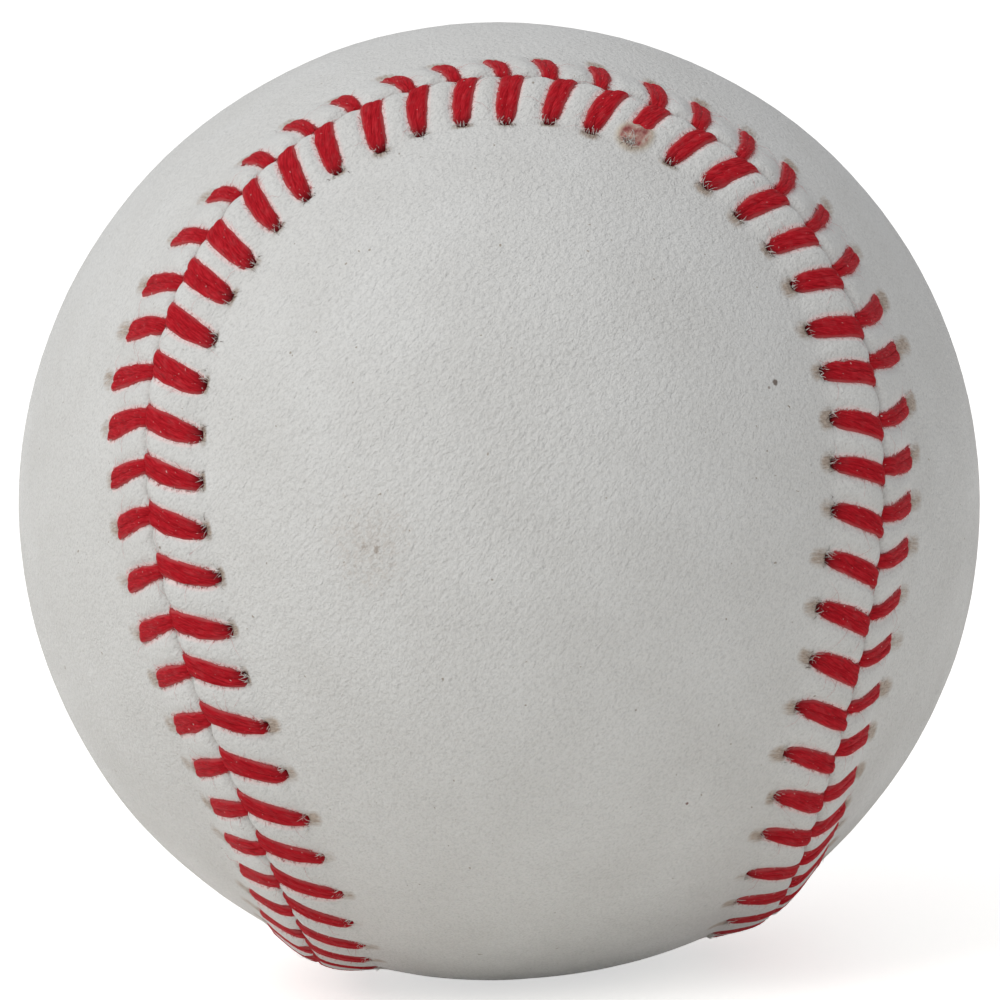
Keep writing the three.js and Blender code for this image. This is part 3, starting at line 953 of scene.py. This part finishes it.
class Paint:
    """The nodes of a material or of the world, with a short call for each kind."""

    def __init__(self, owner):
        owner.use_nodes = True
        self.owner = owner
        self.nodes = owner.node_tree.nodes
        self.links = owner.node_tree.links

    def put(self, socket, value):
        """Links a socket to another node's, or sets it to a colour, a vector or a number."""
        if isinstance(value, bpy.types.NodeSocket):
            self.links.new(value, socket)
        elif socket.type == "RGBA":
            socket.default_value = (*value, 1)
        else:
            socket.default_value = value

    def node(self, kind, inputs, **settings):
        """Makes a node, and returns its outputs."""
        node = self.nodes.new("ShaderNode" + kind)
        for name, value in settings.items():
            setattr(node, name, value)
        for name, value in inputs.items():
            self.put(node.inputs[name], value)
        return node.outputs

    def surface(self, **values):
        """Sets the shader's own sockets; the names have _ for a space."""
        for name, value in values.items():
            self.put(self.nodes["Principled BSDF"].inputs[name.replace("_", " ")], value)

    def object_place(self):
        return self.node("TexCoord", {})["Object"]

    def attribute(self, name):
        return self.node("Attribute", {}, attribute_name=name)["Fac"]

    def noise(self, vector, scale, detail, roughness=0.5):
        inputs = {"Vector": vector, "Scale": scale, "Detail": detail, "Roughness": roughness}
        return self.node("TexNoise", inputs)["Fac"]

    def mapped(self, vector, scale=(1, 1, 1), rotation=(0, 0, 0)):
        return self.node("Mapping", {"Vector": vector, "Scale": scale, "Rotation": rotation})["Vector"]

    def ramp(self, value, stops):
        node = self.nodes.new("ShaderNodeValToRGB")
        elements = node.color_ramp.elements
        while len(elements) < len(stops):
            elements.new(0.5)
        for element, (position, colour) in zip(elements, stops):
            element.position = position
            element.color = (*colour, 1)
        self.links.new(value, node.inputs["Fac"])
        return node.outputs["Color"]

    def mix(self, factor, first, second, blend="MIX"):
        inputs = {MIX_FACTOR: factor, MIX_FIRST: first, MIX_SECOND: second}
        return self.node("Mix", inputs, data_type="RGBA", blend_type=blend)[MIX_RESULT]

    def math(self, operation, first, second):
        return self.node("Math", {0: first, 1: second}, operation=operation)["Value"]

    def bump(self, height, depth, strength=1.0, normal=None):
        inputs = {"Height": height, "Distance": depth * MM, "Strength": strength}
        if normal:
            inputs["Normal"] = normal
        return self.node("Bump", inputs)["Normal"]


def grey(value):
    return (value, value, value)


# The leather's colours and fades, each a ramp over a noise or over a value on the mesh
LEATHER_WHITES = [(0.3, (0.668, 0.662, 0.642)), (0.7, (0.706, 0.703, 0.686))]
LEATHER_ROUGHNESS = [(0.3, grey(0.62)), (0.7, grey(0.52))]
# Painted shade in the grain's hollows, where the pebbles are low
GRAIN_HOLLOW_SHADE = [(0.28, grey(0.84)), (0.55, grey(1.0))]
SPECKS = [(0.785, grey(1.0)), (0.81, (0.45, 0.38, 0.31))]
SPECK_STRENGTH = 0.8
SMEAR_FADE = [(0.09, grey(0.0)), (0.33, grey(1.0))]
SMEAR_COLOURS = [(0.36, (0.52, 0.435, 0.365)), (0.62, (0.34, 0.275, 0.225))]
# Painted red light from the thread on the leather beside it
RED_BOUNCE_TINT = [(0.4, grey(1.0)), (0.92, (1.24, 1.0, 1.0))]
WAX_RIM = (0.55, 0.48, 0.39)
WAX_RIM_FADE = [(0.03, grey(0.0)), (0.40, grey(1.0))]
WAX_FADE = [(0.35, grey(0.0)), (0.70, grey(1.0))]
WAX_COLOURS = [
    (0.36, (0.55, 0.45, 0.38)),
    (0.46, (0.44, 0.24, 0.20)),
    (0.60, (0.28, 0.065, 0.06)),
]
# The colour of the painted shade in pits and at the seam's edge, and of the darkening beside holes, with
# its patches
SHADE_AND_DARKENING_COLOUR = (0.15, 0.10, 0.08)
DARK_PATCHES = [(0.38, grey(0.45)), (0.55, grey(1.0))]

# The sizes of the leather's grain per metre, how it is drawn out, and its depth
MOTTLE_SCALE = 160
PEBBLE_SCALE = 6500
PEBBLE_DEPTH = 0.085
WRINKLE_SCALE = 2400
WRINKLE_DEPTH = 0.18
SPECK_SCALE = 2200
GRAIN_TURN = (0, math.radians(48), 0)
GRAIN_DRAW = (0.68, 1, 1)
RUB_DRAW = (4.5, 0.9, 1)
STREAK_DRAW = (8, 2.5, 1)
CLOT_DRAW = (1.5, 0.9, 1)
RAGGED_SCALE = 2600
RAGGED_LEVEL = 0.4
MARK_RIM = (0.65, 1.0)


def mark_spot(paint, place, ragged, longitude, latitude, radius, broken, strength):
    """A mark's strength in its middle, and 0 outside its ragged rim."""
    east, north = math.radians(longitude), math.radians(latitude)
    middle = Vector((math.sin(east) * math.cos(north), -math.cos(east) * math.cos(north), math.sin(north)))
    inputs = {0: place, 1: middle * BALL_RADIUS * MM}
    away = paint.node("VectorMath", inputs, operation="DISTANCE")["Value"]
    share = paint.math("DIVIDE", away, radius * MM)
    share = paint.math("ADD", share, paint.math("MULTIPLY", ragged, broken))
    rim_start, rim_end = MARK_RIM
    return paint.ramp(share, [(rim_start, grey(strength)), (rim_end, grey(0.0))])


def marked(paint, colour, place):
    """The leather's colour with its specks and its marks."""
    specks = paint.ramp(paint.noise(place, SPECK_SCALE, detail=1), SPECKS)
    colour = paint.mix(SPECK_STRENGTH, colour, specks, "MULTIPLY")
    ragged = paint.math("SUBTRACT", paint.noise(place, RAGGED_SCALE, detail=3, roughness=0.7), RAGGED_LEVEL)
    for *spot, stain in MARKS:
        colour = paint.mix(mark_spot(paint, place, ragged, *spot), colour, stain)
    return colour


def soiled(paint, colour):
    """The leather's colour with the stitches' smears and wax, the thread's painted red light, painted shade
    in the pits and at the seam's edge, and darkening beside the holes.
    """
    inputs = {"X": paint.attribute("beside"), "Y": paint.attribute("past")}
    rubbed = paint.node("CombineXYZ", inputs)["Vector"]
    rub = paint.noise(paint.mapped(rubbed, scale=RUB_DRAW), 1, detail=3, roughness=0.65)
    soil = paint.ramp(paint.math("MULTIPLY", paint.attribute("soil"), rub), SMEAR_FADE)
    streaks = paint.noise(paint.mapped(rubbed, scale=STREAK_DRAW), 1, detail=3, roughness=0.6)
    colour = paint.mix(soil, colour, paint.ramp(streaks, SMEAR_COLOURS))
    # Painted red light from the thread, strongest at a leg's edge
    colour = paint.mix(1.0, colour, paint.ramp(paint.attribute("blush"), RED_BOUNCE_TINT), "MULTIPLY")
    wax = paint.attribute("wax")
    colour = paint.mix(paint.ramp(wax, WAX_RIM_FADE), colour, WAX_RIM)
    clots = paint.noise(paint.mapped(rubbed, scale=CLOT_DRAW), 1, detail=4, roughness=0.55)
    colour = paint.mix(paint.ramp(wax, WAX_FADE), colour, paint.ramp(clots, WAX_COLOURS))
    # Painted shade in the pits and along the seam's edge, with the darkening beside the holes
    dark = paint.math("MULTIPLY", paint.attribute("dark"), paint.ramp(streaks, DARK_PATCHES))
    return paint.mix(dark, colour, SHADE_AND_DARKENING_COLOUR)


def leather_material():
    paint = Paint(bpy.data.materials.new("white_leather"))
    place = paint.object_place()
    drawn = paint.mapped(paint.mapped(place, rotation=GRAIN_TURN), scale=GRAIN_DRAW)
    mottle = paint.noise(place, MOTTLE_SCALE, detail=3)
    pebbles = paint.noise(drawn, PEBBLE_SCALE, detail=2, roughness=0.6)
    wrinkles = paint.noise(drawn, WRINKLE_SCALE, detail=2, roughness=0.55)
    colour = paint.ramp(mottle, LEATHER_WHITES)
    # Painted shade in the grain's hollows
    colour = paint.mix(1.0, colour, paint.ramp(pebbles, GRAIN_HOLLOW_SHADE), "MULTIPLY")
    colour = soiled(paint, marked(paint, colour, place))
    normal = paint.bump(wrinkles, WRINKLE_DEPTH)
    normal = paint.bump(pebbles, PEBBLE_DEPTH, normal=normal)
    paint.surface(Base_Color=colour, Normal=normal, Roughness=paint.ramp(mottle, LEATHER_ROUGHNESS))
    paint.surface(Specular_IOR_Level=0.3)
    return paint.owner


# The thread's reds, the wax that blooms on it, its pale edge and its lint
THREAD_REDS = [
    (0.30, (0.24, 0.002, 0.006)),
    (0.50, (0.42, 0.005, 0.013)),
    (0.70, (0.56, 0.020, 0.031)),
]
THREAD_BLOOM = (0.62, 0.20, 0.21)
THREAD_BLOOM_FADE = [(0.50, grey(0.0)), (0.80, grey(0.15))]
THREAD_EDGE = (0.50, 0.09, 0.095)
THREAD_LINT = (0.70, 0.56, 0.53)
THREAD_LINT_FADE = [(0.72, grey(0.0)), (0.80, grey(0.8))]
# A leg's dark end at its hole and at the seam: grime and painted shade
THREAD_SOIL_AND_SHADE = (0.07, 0.003, 0.005)
FIBRE_DRAW = (1.1, 12.0, 1)
FIBRE_DEPTH = 0.08
BLOOM_DRAW = (1.2, 2.0, 1)
LINT_DRAW = (4.0, 5.5, 1)


def thread_material():
    paint = Paint(bpy.data.materials.new("red_waxed_thread"))
    place = paint.node("UVMap", {}, uv_map=STRAND_UV)["UV"]
    fibres = paint.noise(paint.mapped(place, scale=FIBRE_DRAW), 1, detail=3, roughness=0.65)
    haze = paint.noise(paint.mapped(place, scale=BLOOM_DRAW), 1, detail=4, roughness=0.6)
    lint = paint.noise(paint.mapped(place, scale=LINT_DRAW), 1, detail=1)
    colour = paint.ramp(fibres, THREAD_REDS)
    colour = paint.mix(paint.ramp(haze, THREAD_BLOOM_FADE), colour, THREAD_BLOOM)
    colour = paint.mix(paint.attribute("edge"), colour, THREAD_EDGE)
    colour = paint.mix(paint.ramp(lint, THREAD_LINT_FADE), colour, THREAD_LINT)
    # Grime and painted shade where the legs go down into the holes, and painted shade at the seam
    colour = paint.mix(paint.attribute("soil"), colour, THREAD_SOIL_AND_SHADE)
    paint.surface(Base_Color=colour, Normal=paint.bump(fibres, FIBRE_DEPTH))
    paint.surface(Roughness=0.65, Specular_IOR_Level=0.09)
    return paint.owner


# Plain grainy materials: dark tone, light tone, grain per metre, grain depth and roughness
GRAINY = {
    "cork_composition": ((0.13, 0.06, 0.025), (0.42, 0.25, 0.12), 700, 0.4, 0.9),
    "black_rubber": (grey(0.010), grey(0.018), 1800, 0.1, 0.6),
    "red_rubber": ((0.30, 0.022, 0.016), (0.44, 0.04, 0.026), 1800, 0.1, 0.6),
    "grey_wool": ((0.15, 0.145, 0.14), (0.36, 0.35, 0.33), 1300, 0.5, 0.95),
    "white_wool": ((0.62, 0.58, 0.5), (0.85, 0.82, 0.76), 1300, 0.5, 0.95),
    "white_cotton": ((0.74, 0.72, 0.66), (0.90, 0.89, 0.85), 2600, 0.2, 0.9),
    "moisture_coat": ((0.63, 0.66, 0.69), (0.74, 0.77, 0.80), 500, 0.1, 0.4),
    "red_thread_fuzz": ((0.42, 0.03, 0.035), (0.60, 0.07, 0.075), 3000, 0.01, 0.7),
    "leather_fibre": ((0.68, 0.66, 0.61), (0.80, 0.79, 0.75), 3000, 0.01, 0.8),
    "dark_wax": ((0.06, 0.03, 0.025), (0.16, 0.09, 0.075), 3000, 0.01, 0.7),
}
GRAIN_TONES = (0.35, 0.65)

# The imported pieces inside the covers, by their material
HIDDEN_LAYERS = {
    "cork_composition": ["cork_core"],
    "black_rubber": ["black_rubber_shell_upper", "black_rubber_shell_lower"],
    "red_rubber": ["rubber_gasket", "red_rubber_shell_upper", "red_rubber_shell_lower"],
    "grey_wool": ["first_winding", "third_winding"],
    "white_wool": ["second_winding"],
    "white_cotton": ["finish_winding"],
    "moisture_coat": ["moisture_barrier"],
}


def grainy_material(name):
    """Two tones in a noise of the material's own scale, which also roughens its surface."""
    dark, light, scale, depth, roughness = GRAINY[name]
    paint = Paint(bpy.data.materials.new(name))
    grain = paint.noise(paint.object_place(), scale, detail=4, roughness=0.6)
    colour = paint.ramp(grain, list(zip(GRAIN_TONES, (dark, light))))
    paint.surface(Base_Color=colour, Normal=paint.bump(grain, depth, strength=0.6), Roughness=roughness)
    return paint.owner


def finish_hidden_layers():
    for name, layers in HIDDEN_LAYERS.items():
        material = grainy_material(name)
        for layer in layers:
            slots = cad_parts[layer].data.materials
            slots.clear()
            slots.append(material)


# Camera, light and floor
CAMERA_AZIMUTH = math.radians(-3.19)
CAMERA_ELEVATION = math.radians(7.05)
CAMERA_ROLL = math.radians(-4.26)
CAMERA_DISTANCE = 17.4 * BALL_RADIUS
CAMERA_CLIP_END = 100
BALL_IN_PIXELS = 481
BALL_MIDDLE = (499.5, 503)
IMAGE_SIZE = 1000

# The key light comes from the picture's right, its top and the camera by these shares; sizes are in metres
KEY_FROM = (-0.60, 0.64, 0.48)
KEY_DISTANCE = 1.0
KEY_SIZE = 0.9
KEY_POWER = 5.15
KEY_COLOUR = (1.0, 0.995, 0.975)
ROOM_COLOUR = (0.95, 0.965, 1)
ROOM_STRENGTH = 0.545
FLOOR_HALF = 6.0
FLOOR_COLOUR = (0.90, 0.88, 0.84)
FLOOR_GLOW = 0.60


def camera_axes():
    """Unit vectors to the picture's right, to its top, and back towards the camera."""
    cos_az, sin_az = math.cos(CAMERA_AZIMUTH), math.sin(CAMERA_AZIMUTH)
    cos_el, sin_el = math.cos(CAMERA_ELEVATION), math.sin(CAMERA_ELEVATION)
    back = Vector((sin_az * cos_el, -cos_az * cos_el, sin_el))
    right = Vector((cos_az, sin_az, 0))
    up = back.cross(right)
    cos_roll, sin_roll = math.cos(CAMERA_ROLL), math.sin(CAMERA_ROLL)
    return cos_roll * right + sin_roll * up, cos_roll * up - sin_roll * right, back


def add_camera():
    right, up, back = camera_axes()
    data = bpy.data.cameras.new("camera")
    focal_pixels = BALL_IN_PIXELS * math.sqrt((CAMERA_DISTANCE / BALL_RADIUS) ** 2 - 1)
    data.lens = focal_pixels * data.sensor_width / IMAGE_SIZE
    data.clip_end = CAMERA_CLIP_END
    camera = bpy.data.objects.new("camera", data)
    pixel = BALL_RADIUS / BALL_IN_PIXELS
    aim = right * (IMAGE_SIZE / 2 - BALL_MIDDLE[0]) * pixel
    aim += up * (BALL_MIDDLE[1] - IMAGE_SIZE / 2) * pixel
    matrix = Matrix((right, up, back)).transposed().to_4x4()
    matrix.translation = (back * CAMERA_DISTANCE + aim) * MM
    camera.matrix_world = matrix
    bpy.context.scene.collection.objects.link(camera)
    bpy.context.scene.camera = camera


def add_key_light():
    towards = sum((share * axis for share, axis in zip(KEY_FROM, camera_axes())), Vector())
    data = bpy.data.lights.new("key_light", "AREA")
    data.shape = "DISK"
    data.size = KEY_SIZE
    data.energy = KEY_POWER
    data.color = KEY_COLOUR
    lamp = bpy.data.objects.new("key_light", data)
    lamp.location = towards.normalized() * KEY_DISTANCE
    lamp.rotation_mode = "QUATERNION"
    lamp.rotation_quaternion = towards.to_track_quat("Z", "Y")
    bpy.context.scene.collection.objects.link(lamp)


def add_room():
    """Soft light from all round, which the camera sees as plain white."""
    world = bpy.data.worlds.new("soft_room")
    bpy.context.scene.world = world
    paint = Paint(world)
    room = paint.nodes["Background"]
    paint.put(room.inputs["Color"], ROOM_COLOUR)
    paint.put(room.inputs["Strength"], ROOM_STRENGTH)
    seen = paint.node("Background", {"Color": grey(1)})["Background"]
    camera_ray = paint.node("LightPath", {})["Is Camera Ray"]
    both = paint.node("MixShader", {"Fac": camera_ray, 1: room.outputs["Background"], 2: seen})
    paint.put(paint.nodes["World Output"].inputs["Surface"], both["Shader"])


def floor_material():
    """Pale paint that catches the shadow, with a glow that only the camera's rays and mirrors see."""
    paint = Paint(bpy.data.materials.new("white_floor"))
    paint.nodes.remove(paint.nodes["Principled BSDF"])
    path = paint.node("LightPath", {})
    seen = paint.math("ADD", path["Is Camera Ray"], path["Is Glossy Ray"])
    seen = paint.math("ADD", seen, path["Is Transmission Ray"])
    glow = paint.node("Emission", {"Strength": paint.math("MULTIPLY", seen, FLOOR_GLOW)})["Emission"]
    matt = paint.node("BsdfDiffuse", {"Color": FLOOR_COLOUR})["BSDF"]
    both = paint.node("AddShader", {0: matt, 1: glow})["Shader"]
    paint.put(paint.nodes["Material Output"].inputs["Surface"], both)
    return paint.owner


def add_floor(level):
    half = FLOOR_HALF
    mesh = bpy.data.meshes.new("floor")
    corners = [(-half, -half, level), (half, -half, level), (half, half, level), (-half, half, level)]
    mesh.from_pydata(corners, [], [(0, 1, 2, 3)])
    mesh.materials.append(floor_material())
    floor = bpy.data.objects.new("floor", mesh)
    bpy.context.scene.collection.objects.link(floor)


# The pieces
def add_piece(piece, node=None):
    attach(piece, "root")
    if node:
        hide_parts(node)


def add_covers_and_thread():
    leather = leather_material()
    for cover in (LOWER, UPPER):
        add_piece(make_cover(cover, leather), cover.name)
    add_piece(make_thread(thread_material()), "stitch_thread")


def add_thread_fuzz():
    """Short fuzz all along the legs, a beard where they meet the seam, and a few long strays."""
    material = grainy_material("red_thread_fuzz")
    for cover in (LOWER, UPPER):
        fuzz = thread_hairs(cover, per_leg=96, shortest=0.07, longest=0.28, radius=0.021)
        beard = thread_hairs(cover, per_leg=14, shortest=0.15, longest=0.6, radius=0.013, farthest=0.06)
        strays = thread_hairs(cover, per_leg=4, shortest=0.5, longest=2.0, radius=0.010)
        add_piece(make_hairs(cover.name + "_thread_fuzz", [fuzz, beard, strays], material))


def add_torn_leather():
    """Fibres and flakes at the holes, more of them at the waxed one, and fibres along the legs."""
    waxed = np.array([WAXED_STITCH])
    torn = [
        hole_fibres(LOWER, EVERY_STITCH, per_hole=9, longest=0.8, thickest=0.035),
        hole_fibres(LOWER, EVERY_STITCH, per_hole=5, longest=0.6, thickest=0.06),
        hole_fibres(UPPER, EVERY_STITCH, per_hole=3, longest=0.4, thickest=0.02),
        hole_fibres(LOWER, waxed, per_hole=60, longest=1.4, thickest=0.035),
        edge_fibres(LOWER, per_leg=14, thickest=0.034),
        edge_fibres(UPPER, per_leg=7, thickest=0.028),
    ]
    add_piece(make_hairs("torn_leather_fibres", torn, grainy_material("leather_fibre")))


def add_bristles():
    """Dark waxed hairs that stick out of the holes."""
    grimy = np.flatnonzero(LOWER.grime_and_shade > BRISTLE_GRIME)
    bristles = [
        hole_fibres(LOWER, grimy, per_hole=18, longest=0.65, thickest=0.026, outwards=True),
        hole_fibres(UPPER, EVERY_STITCH, per_hole=2, longest=0.6, thickest=0.014, outwards=True),
    ]
    add_piece(make_hairs("hole_bristles", bristles, grainy_material("dark_wax")))


def main():
    add_camera()
    add_key_light()
    add_room()
    add_covers_and_thread()
    add_thread_fuzz()
    add_torn_leather()
    add_bristles()
    finish_hidden_layers()

    visual_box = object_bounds()
    add_floor(visual_box[0].z)
    bpy.context.scene.view_settings.view_transform = "Standard"


main()
